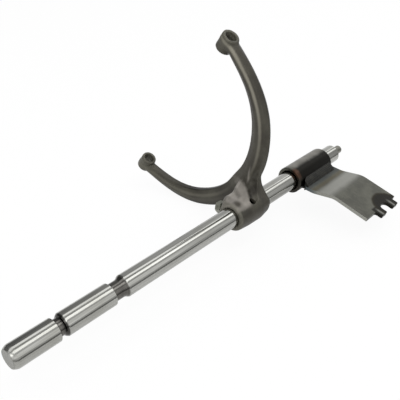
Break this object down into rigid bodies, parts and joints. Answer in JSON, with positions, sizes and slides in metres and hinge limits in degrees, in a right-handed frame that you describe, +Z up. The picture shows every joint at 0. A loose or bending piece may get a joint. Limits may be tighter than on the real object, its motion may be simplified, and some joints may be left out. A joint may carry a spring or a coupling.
{
  "type": "shift fork",
  "caption": "Ground shift rail carrying a wide forged fork with open tip eyes and a welded sleeve with a bent slotted lever.",
  "frame": {"origin": "centre of the rail's flat front end face, on the rail's axis", "axes": "+X along the rail towards its stepped pilot end, +Z up as pictured, the slotted lever reaches to -Y and the fork opens to +Y and +Z"},
  "size_m": [0.4225, 0.2571, 0.1921],
  "materials": {
    "ground_rail": "ground, with bright lengthwise wear",
    "forged_fork": "dark forging scale, worn lighter on ridges",
    "zinc_screw": "dulled zinc plate",
    "sleeve_steel": "turned, oily brown and dark",
    "lever_steel": "dull mill surface with heat tint",
    "weld_metal": "dark rippled weld"
  },
  "bodies": {
    "root": {"shift_rail": "ground_rail", "shift_fork": "forged_fork", "fork_set_screw": "zinc_screw", "selector_sleeve": "sleeve_steel", "lever_plate": "lever_steel", "lever_weld": "weld_metal"}
  },
  "joints": []
}
